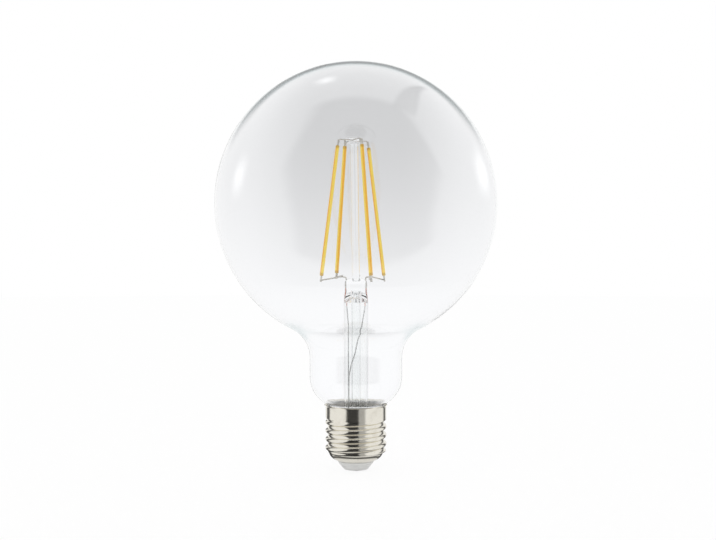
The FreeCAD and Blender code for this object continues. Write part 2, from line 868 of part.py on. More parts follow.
def smoothing_capacitor():
    """A small can with a rolled groove, upright against the board, and its two leads."""
    radius = capacitor_diameter / 2
    foot = board_foot_z + board_slot_depth + capacitor_lift
    axis = at(capacitor_x, -board_face - radius - running_gap, foot)
    outline = [
        (0, 0),
        (radius - capacitor_edge, 0),
        (radius, capacitor_edge),
        (radius, capacitor_groove_rise),
        (radius - capacitor_groove, capacitor_groove_rise + capacitor_groove),
        (radius, capacitor_groove_rise + 2 * capacitor_groove),
        (radius, capacitor_length - capacitor_edge),
        (radius - capacitor_edge, capacitor_length),
        (0, capacitor_length),
        (0, 0),
    ]
    can = turned(polyline([at(r, 0, z) for r, z in outline]))
    can.translate(axis)
    leads = []
    for side in (-1, 1):
        x = axis.x + side * capacitor_lead_pitch / 2
        elbow = at(x, axis.y, foot - capacitor_lead_drop)
        joint = at(x, -board_face - seat_gap, elbow.z)
        leads.append(bent_wire([at(x, axis.y, foot), elbow, joint], board_lead_diameter, board_lead_bend))
    return can.fuse(leads)


def fuse_axis():
    """Middle of the fusible resistor, which lies along the foot of the board on its rear side."""
    y = board_face + 2 * running_gap + slot_cheek + fuse_diameter / 2
    z = insulator_top_z + fuse_diameter / 2 + running_gap
    return at(-fuse_length / 2 - board_lead_diameter, y, z)


def fusible_resistor():
    """A barrel with tapered ends, and the lead that takes it up to the board."""
    middle = fuse_axis()
    half = fuse_length / 2
    radius = fuse_diameter / 2
    end_radius = fuse_end_diameter / 2
    shoulder = half - fuse_end_length
    body = turned(polyline([
        at(0, 0, half), at(0, 0, -half), at(end_radius, 0, -half), at(radius, 0, -shoulder),
        at(radius, 0, shoulder), at(end_radius, 0, half), at(0, 0, half),
    ]))
    body.rotate(at(0, 0, 0), at(0, 1, 0), 90)
    body.translate(middle)
    root = middle - at(half - fuse_lead_root, 0, 0)
    end = middle - at(half + 2 * board_lead_diameter, 0, 0)
    rise = end + at(0, 0, board_slot_depth + fuse_diameter / 2)
    joint = at(rise.x, board_face + seat_gap, rise.z)
    return body.fuse(bent_wire([root, end, rise, joint], board_lead_diameter, board_lead_bend))


def centre_wire_foot():
    """The lowest point of the wire that is pinched between the pin and the insulator."""
    y = (contact_shank_diameter + board_lead_diameter + seat_gap) / 2
    return at(0, y, foot_z - sheet)


def centre_contact_wire():
    """From the fusible resistor down beside the contact's shank."""
    start = fuse_axis() + at(fuse_length / 2 + seat_gap, 0, 0)
    foot = centre_wire_foot()
    elbow = at(foot.x, start.y, start.z)
    neck = at(foot.x, foot.y, insulator_top_z + board_lead_diameter / 2)
    return bent_wire([start, elbow, neck, foot], board_lead_diameter)


def side_contact_wire():
    """From the board's edge out to the inside of the cap's wall."""
    z = board_foot_z + side_wire_rise
    wall = root_radius - sheet - board_lead_diameter / 2 - running_gap
    y = board_face + board_lead_diameter / 2 + seat_gap
    reach = math.sqrt(wall ** 2 - y ** 2)
    edge = board_width / 2
    points = [
        at(edge - side_wire_land, y, z),
        at(edge + (reach - edge) * side_wire_share, y, z),
        at(reach - (reach - edge) * side_wire_share / 3, y, z + side_wire_knee),
        at(reach, y, z + side_wire_climb),
    ]
    return bent_wire(points, board_lead_diameter)


def lead_solder():
    """A cone of solder over each outer lead where it lies on the board."""
    joints = []
    for side in (-1, 1):
        pad = lead_pad(side)
        root = at(pad.x, -board_face - seat_gap, pad.z)
        cone = Part.makeCone(solder_radius, solder_tip_radius, solder_radius, root, at(0, -1, 0))
        joints.append(cone.cut(channel(outer_lead_points(side), outer_lead_diameter)))
    return Part.Compound(joints)


os.makedirs("parts", exist_ok=True)

save("glass_envelope", glass_envelope())

sides = {"left": -1, "right": 1}
channels = []
for name, side in sides.items():
    seal = seal_wire(side)
    x = side * seal_wire_offset
    channels.append(rod(seal_wire_diameter / 2 + seat_gap, at(x, 0, seal_foot_z), at(x, 0, seal_top_z)))
    channels.append(channel(lead_in_points(side), lead_in_diameter))
    save("seal_wire_" + name, seal)
    save("lead_in_wire_" + name, bent_wire(lead_in_points(side), lead_in_diameter))
    save("branch_wire_" + name, bent_wire(branch_points(side), top_wire_diameter))
    save("outer_lead_" + name, bent_wire(outer_lead_points(side), outer_lead_diameter))

save("stem_tube", stem_tube(channels))
save("exhaust_tube", exhaust_tube())

top_wires = {"front": top_wire_points(0, 3, 1), "rear": top_wire_points(1, 2, -1)}
for name, points in top_wires.items():
    save("top_wire_" + name, bent_wire(points, top_wire_diameter))
save("stem_pillar", stem_pillar([channel(points, top_wire_diameter) for points in top_wires.values()]))

substrate = strip_substrate()
chips = strip_chips()
coat = strip_coat()
tabs = Part.Compound([strip_tab(1), strip_tab(-1)])
for index in range(strip_count):
    placement = strip_frame(index)
    name = "strip_" + str(index + 1)
    save(name + "_plate", placed(substrate, placement))
    save(name + "_chips", placed(chips, placement))
    save(name + "_coat", placed(coat, placement))
    save(name + "_tabs", placed(tabs, placement))

save("cap_shell", cap_shell())
save("capping_cement", capping_cement())
save("cap_insulator", cap_insulator())
save("centre_contact", centre_contact())
save("driver_board", driver_board())
save("bridge_rectifier", bridge_rectifier())
save("driver_ic", driver_ic())
save("chip_resistors", chip_resistors())
save("smoothing_capacitor", smoothing_capacitor())
save("fusible_resistor", fusible_resistor())
save("centre_contact_wire", centre_contact_wire())
save("side_contact_wire", side_contact_wire())
save("lead_solder", lead_solder())
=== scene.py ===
import math
import bpy
import numpy as np
from mathutils import Matrix, Vector


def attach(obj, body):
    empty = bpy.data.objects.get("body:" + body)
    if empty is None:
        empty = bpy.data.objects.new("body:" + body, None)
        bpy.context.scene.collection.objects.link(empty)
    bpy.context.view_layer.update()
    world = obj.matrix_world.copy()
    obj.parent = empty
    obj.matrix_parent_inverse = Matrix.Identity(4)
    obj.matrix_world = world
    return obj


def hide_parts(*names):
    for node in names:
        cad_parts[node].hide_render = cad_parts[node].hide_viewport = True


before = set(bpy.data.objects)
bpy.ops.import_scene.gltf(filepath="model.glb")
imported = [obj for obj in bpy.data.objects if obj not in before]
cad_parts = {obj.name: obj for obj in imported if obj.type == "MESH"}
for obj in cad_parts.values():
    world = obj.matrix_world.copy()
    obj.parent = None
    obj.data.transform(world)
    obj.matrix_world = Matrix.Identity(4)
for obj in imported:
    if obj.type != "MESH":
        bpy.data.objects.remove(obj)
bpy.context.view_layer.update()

# The bulb is blown in one piece of clear soda glass, 0.8 mm thick: the globe, a straight neck, and
# a shoulder that narrows to the throat. It is fused to the stem's flare and cemented into the cap.
mm = 0.001
globe_radius = 60.5 * mm
globe_z = 114.7 * mm
glass_wall = 0.8 * mm
neck_radius = 19.85 * mm
neck_fillet = 14.0 * mm
shoulder_radius = 13.0 * mm
shoulder_z = 40.3 * mm
throat_radius = 11.6 * mm
throat_fillet = 1.5 * mm
throat_z = 19.3 * mm
bulb_around = 192
globe_steps = 110
neck_fillet_steps = 22
neck_steps = 8
shoulder_steps = 24
throat_fillet_steps = 6
throat_steps = 4
on_axis = 0.0001 * mm
soda_glass = (0.986, 0.989, 0.996, 1)
soda_glass_edge = (0.46, 0.60, 0.62, 1)
soda_glass_ripple = 0.02
edge_turn = (0.80, 1.0)
wisp_scale = 60.0
wisp_shade = 0.03
ripple_scale = 45.0
ripple_height = 2 * mm
# The bulb's edge is painted darker over the crown, a painted dark reflection, and round the waist,
# a painted darker band.
bulb_crown = (globe_z + 0.3 * globe_radius, globe_z + 0.8 * globe_radius)
crown_turn = (0.72, 0.86)
crown_painted_reflection = 0.6
crown_edge = 0.4
side_edge = 0.1
bulb_waist = (56.5 * mm, 63.5 * mm, 1.5 * mm)
waist_turn = (0.60, 0.90)
waist_painted_darkening = 0.7


class Socket:
    """An output of a shader node. Sums on it add Math nodes, and make adds any other node."""

    def __init__(self, tree, socket=None):
        self.tree = tree
        self.socket = socket

    def make(self, kind, settings=None, inputs=None, output=0):
        node = self.tree.nodes.new("ShaderNode" + kind)
        for key, value in (settings or {}).items():
            setattr(node, key, value)
        for key, value in (inputs or {}).items():
            if isinstance(value, Socket):
                self.tree.links.new(value.socket, node.inputs[key])
            else:
                node.inputs[key].default_value = value
        return Socket(self.tree, node.outputs[output] if node.outputs else None)

    def out(self, name):
        return Socket(self.tree, self.socket.node.outputs[name])

    def part(self, axis):
        """One coordinate of this vector."""
        return self.make("SeparateXYZ", {}, {0: self}).out(axis)

    def math(self, operation, *values):
        return self.make("Math", {"operation": operation}, dict(enumerate(values)))

    def __add__(self, other):
        return self.math("ADD", self, other)

    def __sub__(self, other):
        return self.math("SUBTRACT", self, other)

    def __mul__(self, other):
        return self.math("MULTIPLY", self, other)

    def __truediv__(self, other):
        return self.math("DIVIDE", self, other)

    def __radd__(self, other):
        return self.math("ADD", other, self)

    def __rsub__(self, other):
        return self.math("SUBTRACT", other, self)

    def __rmul__(self, other):
        return self.math("MULTIPLY", other, self)

    def __rtruediv__(self, other):
        return self.math("DIVIDE", other, self)

    def absolute(self):
        return self.math("ABSOLUTE", self)

    def waves(self, length):
        """1 at each whole length and -1 halfway between."""
        return self.math("COSINE", self / length * (2 * math.pi))

    def above(self, level):
        return self.math("GREATER_THAN", self, level)

    def limit(self, low, high):
        return self.math("MINIMUM", self.math("MAXIMUM", self, low), high)

    def blend(self, first, second):
        """From the first colour to the second as this value goes from 0 to 1."""
        return self.make("Mix", {"data_type": "RGBA"}, {0: self, 6: first, 7: second}, 2)

    def rise(self, low, high):
        """0 below low and 1 above high, with a soft step between."""
        soft = {"interpolation_type": "SMOOTHSTEP"}
        return self.make("MapRange", soft, {0: self, 1: low, 2: high})

    def between(self, low, high, soft):
        return self.rise(low - soft, low + soft) * (1 - self.rise(high - soft, high + soft))


def empty_tree(owner):
    """The start of an empty node tree, for a material or the world."""
    owner.use_nodes = True
    owner.node_tree.nodes.clear()
    return Socket(owner.node_tree)


def material(name, paint):
    """A material from paint, which is given the tree's start and returns the shader's inputs."""
    made = bpy.data.materials.new(name)
    start = empty_tree(made)
    shader = start.make("BsdfPrincipled", {}, paint(start))
    start.make("OutputMaterial", {}, {"Surface": shader})
    return made


def place_on(start):
    """The point on the piece, in metres."""
    return start.make("TexCoord").out("Object")


def stretched(point, x, y, z):
    return point.make("VectorMath", {"operation": "MULTIPLY"}, {0: point, 1: (x, y, z)})


def noise(point, scale, detail):
    return point.make("TexNoise", {}, {"Vector": point, "Scale": scale, "Detail": detail})


def relief(pattern, height, strength):
    """The normal over a pattern that stands up to this height, in metres."""
    return pattern.make("Bump", {}, {"Strength": strength, "Distance": height, "Height": pattern})


def clear_glass(name, body, edge, ripple, crown=None, waist=None):
    """Clear glass that darkens and turns green towards its edges, with the ripples of hot glass.
    Given a crown, its edge there gets a painted dark reflection; given a waist, a painted darker
    band.
    """
    def paint(start):
        point = place_on(start)
        turn = start.make("LayerWeight", {}, {"Blend": 0.5}).out("Facing")
        wisps = noise(stretched(point, 1, 1, 0.35), wisp_scale, detail=3.0)
        depth = turn.rise(*edge_turn) + (wisps - 0.5) * wisp_shade
        # Painted light: the edge is painted darker over the crown and round the waist, beyond the
        # glass's own tint.
        if crown:
            height = point.part("Z")
            high = height.rise(*crown)
            depth = depth * (side_edge + high * crown_edge)
            depth = depth + turn.rise(*crown_turn) * high * crown_painted_reflection
            depth = depth + turn.rise(*waist_turn) * height.between(*waist) * waist_painted_darkening
        ripples = noise(stretched(point, 1, 1, 0.5), ripple_scale, detail=1.0)
        return {"Base Color": depth.blend(body, edge), "Roughness": 0.0, "IOR": 1.5,
                "Transmission Weight": 1.0, "Normal": relief(ripples, ripple_height, ripple)}
    return material(name, paint)


def arc(centre, radius, start, end, steps):
    """Points (radius, height) on an arc, from one angle in degrees to another."""
    turns = np.radians(np.linspace(start, end, steps + 1))
    return [(centre[0] + radius * math.cos(t), centre[1] + radius * math.sin(t)) for t in turns]


def straight(start, end, steps):
    across = end[0] - start[0]
    up = end[1] - start[1]
    return [(start[0] + across * s, start[1] + up * s) for s in np.linspace(0, 1, steps + 1)]


def piece(name, vertices, faces, finish, slot, replaced, sharp=35.0):
    """A smooth mesh that stands for CAD nodes, in their place."""
    mesh = bpy.data.meshes.new(name)
    mesh.from_pydata(vertices, [], faces)
    mesh.validate()
    mesh.shade_smooth()
    mesh.set_sharp_from_angle(angle=math.radians(sharp))
    mesh.materials.append(finish)
    made = bpy.data.objects.new(name, mesh)
    bpy.context.scene.collection.objects.link(made)
    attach(made, "root")
    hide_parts(*replaced)
    return made


def sleeve(rings, closed=False):
    """Vertices and faces through rings of points. A ring of one point closes the form there."""
    vertices = []
    starts = []
    for ring in rings:
        starts.append(len(vertices))
        vertices.extend(ring)
    faces = []
    rows = [(i, i + 1) for i in range(len(rings) - 1)]
    if closed:
        rows.append((len(rings) - 1, 0))
    for a, b in rows:
        around = max(len(rings[a]), len(rings[b]))
        for j in range(around):
            k = (j + 1) % around
            if len(rings[a]) == 1:
                faces.append((starts[a], starts[b] + j, starts[b] + k))
            elif len(rings[b]) == 1:
                faces.append((starts[a] + k, starts[a] + j, starts[b]))
            else:
                faces.append((starts[a] + k, starts[a] + j, starts[b] + j, starts[b] + k))
    return vertices, faces


def circle(radius, z, around):
    turns = [2 * math.pi * j / around for j in range(around)]
    return [(radius * math.cos(t), radius * math.sin(t), z) for t in turns]


def bulb_wall(inset):
    """One wall of the bulb, from its pole down to the edge of its throat."""
    globe = globe_radius - inset
    neck = neck_radius - inset
    throat = throat_radius - inset
    fillet = neck_fillet + inset
    shoulder = shoulder_radius - inset
    hollow = throat_fillet + inset
    fillet_x = neck + fillet
    fillet_z = globe_z - math.sqrt((globe + fillet) ** 2 - fillet_x ** 2)
    shoulder_x = neck_radius - shoulder_radius
    hollow_x = throat + hollow
    hollow_z = shoulder_z - math.sqrt((shoulder + hollow) ** 2 - (hollow_x - shoulder_x) ** 2)
    fillet_turn = math.degrees(math.atan2(globe_z - fillet_z, -fillet_x))
    shoulder_turn = math.degrees(math.atan2(hollow_z - shoulder_z, hollow_x - shoulder_x))
    line = arc((0, globe_z), globe, 90, fillet_turn - 180, globe_steps)
    line += arc((fillet_x, fillet_z), fillet, fillet_turn, 180, neck_fillet_steps)[1:]
    line += straight((neck, fillet_z), (neck, shoulder_z), neck_steps)[1:]
    line += arc((shoulder_x, shoulder_z), shoulder, 0, shoulder_turn, shoulder_steps)[1:]
    line += arc((hollow_x, hollow_z), hollow, shoulder_turn + 180, 180, throat_fillet_steps)[1:]
    return line + straight((throat, hollow_z), (throat, throat_z), throat_steps)[1:]


def bulb_rings():
    """Rings down the outer wall of the bulb, and up its inner wall to the pole again."""
    rings = []
    for radius, z in bulb_wall(0) + bulb_wall(glass_wall)[::-1]:
        rings.append([(0, 0, z)] if radius < on_axis else circle(radius, z, bulb_around))
    return rings


bulb_glass = clear_glass("bulb_glass", soda_glass, soda_glass_edge, soda_glass_ripple,
                         bulb_crown, bulb_waist)
piece("bulb", *sleeve(bulb_rings()), bulb_glass, "clear_glass", ["glass_envelope"])

# The stem is a lead-glass tube, flared at its foot and pressed flat at its top round the wires,
# with the exhaust tube and the pillar fused into it. All three keep their CAD solids.
lead_glass = (0.988, 0.993, 0.992, 1)
lead_glass_edge = (0.80, 0.86, 0.85, 1)
lead_glass_ripple = 0.08


def dress(finish, *names):
    """Gives CAD nodes their finish. Their meshes stay as they are."""
    for name in names:
        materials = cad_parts[name].data.materials
        materials.clear()
        materials.append(finish)


stem_glass = clear_glass("stem_glass", lead_glass, lead_glass_edge, lead_glass_ripple)
dress(stem_glass, "stem_tube", "exhaust_tube", "stem_pillar")

# Seal wires of copper-clad nickel iron go through the press, since glass bonds to that metal
# without a leak. The copper shows red through the glass.
copper_red = (0.63, 0.24, 0.16, 1)
copper_dark = (0.36, 0.12, 0.08, 1)
copper_roughness = 0.25
metal_patch_scale = 900.0
metal_patch_edge = (0.35, 0.7)
metal_patch_roughness = 0.15
drawn_line_scale = 4000.0
drawn_line_height = 0.05 * mm
drawn_line_strength = 0.15


def drawn_metal(name, bright, dull, roughness):
    """Metal drawn into wire or stamped, with fine lines along it and duller patches."""
    def paint(start):
        point = place_on(start)
        patches = noise(point, metal_patch_scale, detail=3.0)
        lines = noise(stretched(point, 6, 6, 0.5), drawn_line_scale, detail=2.0)
        return {"Base Color": patches.rise(*metal_patch_edge).blend(bright, dull), "Metallic": 1.0,
                "Roughness": roughness + patches * metal_patch_roughness,
                "Normal": relief(lines, drawn_line_height, drawn_line_strength)}
    return material(name, paint)


copper_clad = drawn_metal("copper_clad_wire", copper_red, copper_dark, copper_roughness)
dress(copper_clad, "seal_wire_left", "seal_wire_right")

# Nickel wires: the lead-ins and their branches at the foot of the cage, and the two wires through
# the pillar's button. They are welded to the strips' tabs and, under the cage, to the seal wires.
nickel_bright = (0.62, 0.60, 0.55, 1)
nickel_dull = (0.40, 0.38, 0.35, 1)
nickel_roughness = 0.22
nickel_wire = drawn_metal("nickel_wire", nickel_bright, nickel_dull, nickel_roughness)
dress(nickel_wire, "lead_in_wire_left", "lead_in_wire_right", "branch_wire_left",
      "branch_wire_right", "top_wire_front", "top_wire_rear")

# Tinned copper leads run down the stem to the board. Two more wires join the board to the centre
# contact and to the cap.
tin_bright = (0.55, 0.55, 0.54, 1)
tin_dull = (0.33, 0.33, 0.33, 1)
tin_roughness = 0.3
tinned_wire = drawn_metal("tinned_wire", tin_bright, tin_dull, tin_roughness)
dress(tinned_wire, "outer_lead_left", "outer_lead_right", "centre_contact_wire",
      "side_contact_wire")

# Four light-emitting strips: a ceramic plate with a row of 28 chips, clamped in a metal tab at each
# end and coated all round with amber silicone. Their tabs are welded to the wires.
strip_count = 4
coat_length = 56.3 * mm
coat_width = 1.75 * mm
coat_thickness = 1.55 * mm
coat_end_round = 0.35 * mm
coat_steps = 150
coat_end_steps = 8
coat_around = 40
coat_unevenness = 0.012
coat_waves = (900, 370)
clamp_length = 1.4 * mm
clamp_band = (coat_length / 2 - clamp_length * 1.2, coat_length / 2 - clamp_length * 0.5)
clamp_shade = 0.7
chip_count = 28
chip_pitch = (coat_length - 2 * clamp_length - 2 * coat_end_round) / chip_count
chip_row = (-0.2, 0.45, 0.25)
chip_shade = 0.2
amber_middle = (0.85, 0.46, 0.045, 1)
amber_edge = (0.90, 0.69, 0.125, 1)
amber_edge_band = (0.15, 0.95)
amber_clamp = (0.48, 0.29, 0.05, 1)
amber_grain_scale = 2500.0
amber_grain_shade = 0.25
amber_swell_scale = 900.0
amber_swell_height = 0.3 * mm
amber_swell_strength = 0.25
amber_roughness = 0.32
amber_grain_roughness = 0.1
cage_top_radius = 7.6 * mm
cage_bottom_radius = 15.35 * mm
cage_turn = 29.0
cage_offset = -1.15 * mm
strip_tops = (-0.35, 0.7, -0.4, -0.2)
button_mid_z = 142.1 * mm
tab_reach = 2.21 * mm


def strip_place(index):
    """The frame of a strip: X points out of the cage and Z runs up the strip."""
    azimuth = math.radians(180 + cage_turn - 360 / strip_count * index)
    radial = Vector((math.cos(azimuth), math.sin(azimuth), 0))
    rise = math.sqrt(coat_length ** 2 - (cage_bottom_radius - cage_top_radius) ** 2)
    top_z = button_mid_z - tab_reach + strip_tops[index] * mm
    top = Vector((cage_offset, 0, top_z)) + radial * cage_top_radius
    bottom = Vector((cage_offset, 0, top_z - rise)) + radial * cage_bottom_radius
    along = (top - bottom).normalized()
    tangent = Vector((-radial.y, radial.x, 0))
    outward = tangent.cross(along)
    turn = Matrix((outward, tangent, along)).transposed()
    return Matrix.Translation((top + bottom) / 2) @ turn.to_4x4()


def paint_amber(start):
    point = place_on(start)
    height = point.part("Z")
    across = (point.part("Y") / (coat_width / 2)).absolute()
    chips = across.between(*chip_row) * (0.5 - height.waves(chip_pitch) * 0.5)
    grain = noise(point, amber_grain_scale, detail=4.0)
    shade = across.rise(*amber_edge_band) - chips * chip_shade
    shade = shade + (grain - 0.5) * amber_grain_shade
    clamp = height.absolute().rise(*clamp_band) * clamp_shade
    colour = clamp.blend(shade.blend(amber_middle, amber_edge), amber_clamp)
    swell = noise(stretched(point, 1, 1, 0.4), amber_swell_scale, detail=2.0)
    return {"Base Color": colour, "Roughness": amber_roughness + grain * amber_grain_roughness,
            "IOR": 1.41, "Coat Weight": 0.05, "Subsurface Weight": 0.25,
            "Subsurface Radius": (1.0, 0.6, 0.2), "Subsurface Scale": 0.6 * mm,
            "Normal": relief(swell, amber_swell_height, amber_swell_strength)}


def coat_rings():
    """The oval bead of silicone, a little uneven where it was laid, with rounded ends."""
    rings = []
    half = coat_length / 2
    for i in range(coat_steps + 1):
        z = (i / coat_steps - 0.5) * coat_length
        bend = math.pi / 2 * min(i, coat_steps - i) / coat_end_steps
        if i < coat_end_steps:
            z = -half + coat_end_round * (1 - math.cos(bend))
        if i > coat_steps - coat_end_steps:
            z = half - coat_end_round * (1 - math.cos(bend))
        depth = max(0.0, (abs(z) - (half - coat_end_round)) / coat_end_round)
        inset = coat_end_round * (1 - math.sqrt(max(0.0, 1 - depth ** 2)))
        waves = math.sin(z * coat_waves[0]) * math.sin(z * coat_waves[1] + 1)
        swell = 1 - coat_unevenness * (1 + waves)
        ring = []
        for j in range(coat_around):
            turn = 2 * math.pi * j / coat_around
            x = (coat_thickness / 2 * swell - inset) * math.cos(turn)
            y = (coat_width / 2 * swell - inset) * math.sin(turn)
            ring.append((x, y, z))
        rings.append(ring)
    return [[(0, 0, half)]] + rings[::-1] + [[(0, 0, -half)]]


amber_coat = material("amber_coat", paint_amber)
coat_vertices, coat_faces = sleeve(coat_rings())
for index in range(strip_count):
    node = "strip_" + str(index + 1)
    coat = piece(node + "_bead", coat_vertices, coat_faces, amber_coat, "amber_coat",
                 [node + "_coat"])
    coat.matrix_world = strip_place(index)

# Inside the coat, each strip's white ceramic plate carries its row of blue chips. The tabs are
# stamped from thin bright metal and clamped over the plate's ends.
ceramic_light = (0.80, 0.79, 0.75, 1)
ceramic_dark = (0.72, 0.71, 0.67, 1)
ceramic_roughness = 0.5
ceramic_grain_scale = 3000.0
chip_light = (0.30, 0.42, 0.55, 1)
chip_dark = (0.24, 0.33, 0.45, 1)
chip_roughness = 0.2
chip_grain_scale = 4000.0
tab_bright = (0.66, 0.64, 0.58, 1)
tab_dull = (0.45, 0.43, 0.39, 1)
tab_roughness = 0.28
plain_grain_edge = (0.3, 0.7)
plain_grain_height = 0.05 * mm
plain_grain_strength = 0.2


def plain_finish(name, light, dark, roughness, grain_scale):
    """A plain finish with a fine grain, for the small pieces that are hardly seen."""
    def paint(start):
        grain = noise(place_on(start), grain_scale, detail=4.0)
        return {"Base Color": grain.rise(*plain_grain_edge).blend(light, dark),
                "Roughness": roughness,
                "Normal": relief(grain, plain_grain_height, plain_grain_strength)}
    return material(name, paint)


strip_ceramic = plain_finish("strip_ceramic", ceramic_light, ceramic_dark, ceramic_roughness,
                             ceramic_grain_scale)
led_chip = plain_finish("led_chip", chip_light, chip_dark, chip_roughness, chip_grain_scale)
strip_tab_metal = drawn_metal("strip_tab_metal", tab_bright, tab_dull, tab_roughness)
for index in range(strip_count):
    node = "strip_" + str(index + 1)
    dress(strip_ceramic, node + "_plate")
    dress(led_chip, node + "_chips")
    dress(strip_tab_metal, node + "_tabs")

# The cap is drawn from one sheet of brass 0.3 mm thick and nickel-plated: a flared lip, a plain
# collar, a thread of seven turns to the inch rolled in from both sides, and a rounded foot.
sheet = 0.3 * mm
lip_z = 28.2 * mm
lip_bend = 1.0 * mm
lip_turn = math.radians(60)
collar_radius = 13.1 * mm
thread_top = 22.8 * mm
crest_radius = 13.2 * mm
thread_depth = 1.05 * mm
thread_pitch = 3.629 * mm
thread_start = 8.07 * mm
thread_run_out = 1.2 * mm
thread_foot_drop = 1.5 * mm
foot_z = 4.5 * mm
foot_bend = 4.5 * mm
foot_inset = 0.3 * mm
foot_opening = 7.6 * mm
lip_steps = 10
collar_steps = 8
thread_steps = 100
foot_steps = 30
outside_density = 1.6
inside_density = 0.5
cap_around = 224
cap_sharp = 50.0
nickel_plate = (0.80, 0.77, 0.69, 1)
nickel_worn = (0.66, 0.62, 0.54, 1)
plate_roughness = 0.10
worn_scale = 260.0
worn_edge = (0.45, 0.75)
worn_share = 0.5
worn_roughness = 0.07
speck_scale = 3800.0
speck_edge = (0.66, 0.72)
speck_share = 0.3
speck_roughness = 0.04
turned_line_scale = 9000.0
turned_line_height = 0.05 * mm
turned_line_strength = 0.10


def thread_wave(height):
    """Radius over the mean of the thread: equal arcs for crest and root, tangent to each other."""
    quarter = thread_pitch / 4
    half_angle = 2 * math.atan(thread_depth / (2 * quarter))
    bow = quarter / math.sin(half_angle)
    place = (height + quarter) % thread_pitch - quarter
    side = 1
    if place > quarter:
        place = place - 2 * quarter
        side = -1
    return side * (math.sqrt(bow ** 2 - place ** 2) - bow * math.cos(half_angle))


def ease(share):
    share = max(0.0, min(1.0, share))
    return share * share * (3 - 2 * share)


def cap_line(density):
    """The cap's outer line, lip to foot: radius, height, tilt of its normal, share of thread."""
    collar_top = lip_z - lip_bend * math.sin(lip_turn)
    foot_centre = foot_z + foot_bend
    foot_radius = crest_radius - thread_depth - foot_inset
    mean_radius = crest_radius - thread_depth / 2
    fade_foot = foot_centre - thread_foot_drop
    foot_turn = math.acos((foot_opening - foot_radius + foot_bend) / foot_bend)
    line = []
    steps = round(lip_steps * density)
    for step in range(steps):
        turn = lip_turn * (1 - step / steps)
        radius = collar_radius + lip_bend * (1 - math.cos(turn))
        line.append((radius, collar_top + lip_bend * math.sin(turn), turn, 0))
    steps = round(collar_steps * density)
    for step in range(steps):
        line.append((collar_radius, collar_top - (collar_top - thread_top) * step / steps, 0, 0))
    steps = round(thread_steps * density)
    for step in range(steps):
        z = thread_top - (thread_top - foot_centre) * step / steps
        upper = ease((thread_top - z) / thread_run_out)
        lower = ease((z - fade_foot) / thread_run_out)
        radius = mean_radius + (1 - upper) * (collar_radius - mean_radius)
        radius = radius + (1 - lower) * (foot_radius - mean_radius)
        line.append((radius, z, 0, upper * lower))
    steps = round(foot_steps * density)
    for step in range(steps + 1):
        turn = foot_turn * step / steps
        z = foot_centre - foot_bend * math.sin(turn)
        lower = ease((z - fade_foot) / thread_run_out)
        radius = foot_radius - foot_bend * (1 - math.cos(turn))
        line.append((radius + lower * (mean_radius - foot_radius), z, turn, lower))
    return line


def cap_rings(inset, density):
    """Rings down one skin of the sheet, set in from the outer one at right angles to it."""
    rings = []
    for radius, z, turn, share in cap_line(density):
        ring = []
        for j in range(cap_around):
            wave = share * thread_wave(z - thread_start - thread_pitch * j / cap_around)
            reach = radius + wave - inset * math.cos(turn)
            angle = 2 * math.pi * j / cap_around
            ring.append((reach * math.cos(angle), reach * math.sin(angle),
                         z + inset * math.sin(turn)))
        rings.append(ring)
    return rings


def paint_cap(start):
    point = place_on(start)
    patches = noise(point, worn_scale, detail=4.0)
    specks = noise(point, speck_scale, detail=2.0)
    worn = patches.rise(*worn_edge) * worn_share + specks.rise(*speck_edge) * speck_share
    lines = noise(stretched(point, 0.05, 0.05, 1), turned_line_scale, detail=3.0)
    roughness = plate_roughness + patches * worn_roughness + specks * speck_roughness
    return {"Base Color": worn.blend(nickel_plate, nickel_worn), "Metallic": 1.0,
            "Roughness": roughness,
            "Normal": relief(lines, turned_line_height, turned_line_strength)}


cap_nickel = material("cap_nickel", paint_cap)
cap_skins = cap_rings(0, outside_density) + cap_rings(sheet, inside_density)[::-1]
piece("screw_cap", *sleeve(cap_skins, closed=True), cap_nickel, "nickel_plate", ["cap_shell"],
      cap_sharp)

# Capping cement fills the ring between the glass throat and the collar. It is pressed in as a
# paste, and its uneven grey edge shows through the glass behind the lip.
cement_light = (0.52, 0.51, 0.49, 1)
cement_dark = (0.20, 0.20, 0.19, 1)
cement_play = 0.04 * mm
cement_inner = throat_radius + cement_play
cement_outer = collar_radius - sheet - cement_play
cement_foot = thread_top + sheet
cement_top = lip_z - lip_bend
cement_around = 160
cement_steps = 8
cement_even = 0.6
cement_lump = 0.12 * mm
cement_waves = ((7, 1, 0.4), (17, 0, 0.3), (31, 2, 0.3))
streak_scale = 700.0
streak_edge = (0.35, 0.65)
streak_share = 0.8
cement_grain_scale = 5000.0
cement_grain_height = 0.1 * mm
cement_grain_strength = 0.5


def cement_rings():
    """Rings up the throat, over the round top and down the collar, with a lumpy upper edge."""
    middle = (cement_inner + cement_outer) / 2
    half = (cement_outer - cement_inner) / 2
    line = straight((cement_inner, cement_foot), (cement_inner, cement_top), cement_steps)
    line += arc((middle, cement_top), half, 180, 0, cement_steps)[1:-1]
    line += straight((cement_outer, cement_top), (cement_outer, cement_foot), cement_steps)
    rings = []
    for radius, z in line:
        share = (z - cement_foot) / (cement_top - cement_foot)
        high = max(0.0, share - cement_even) / (1 - cement_even)
        ring = []
        for j in range(cement_around):
            angle = 2 * math.pi * j / cement_around
            lump = sum(math.sin(angle * waves + turn) * size for waves, turn, size in cement_waves)
            ring.append((radius * math.cos(angle), radius * math.sin(angle),
                         z + lump * high * cement_lump))
        rings.append(ring)
    return rings


def paint_cement(start):
    point = place_on(start)
    streaks = noise(stretched(point, 1, 1, 0.08), streak_scale, detail=4.0)
    grain = noise(point, cement_grain_scale, detail=3.0)
    shade = streaks.rise(*streak_edge) * streak_share + grain * (1 - streak_share)
    return {"Base Color": shade.blend(cement_dark, cement_light), "Roughness": 0.8,
            "Normal": relief(grain, cement_grain_height, cement_grain_strength)}


cement = material("capping_cement", paint_cement)
piece("cement_ring", *sleeve(cement_rings(), closed=True), cement, "cement", ["capping_cement"])

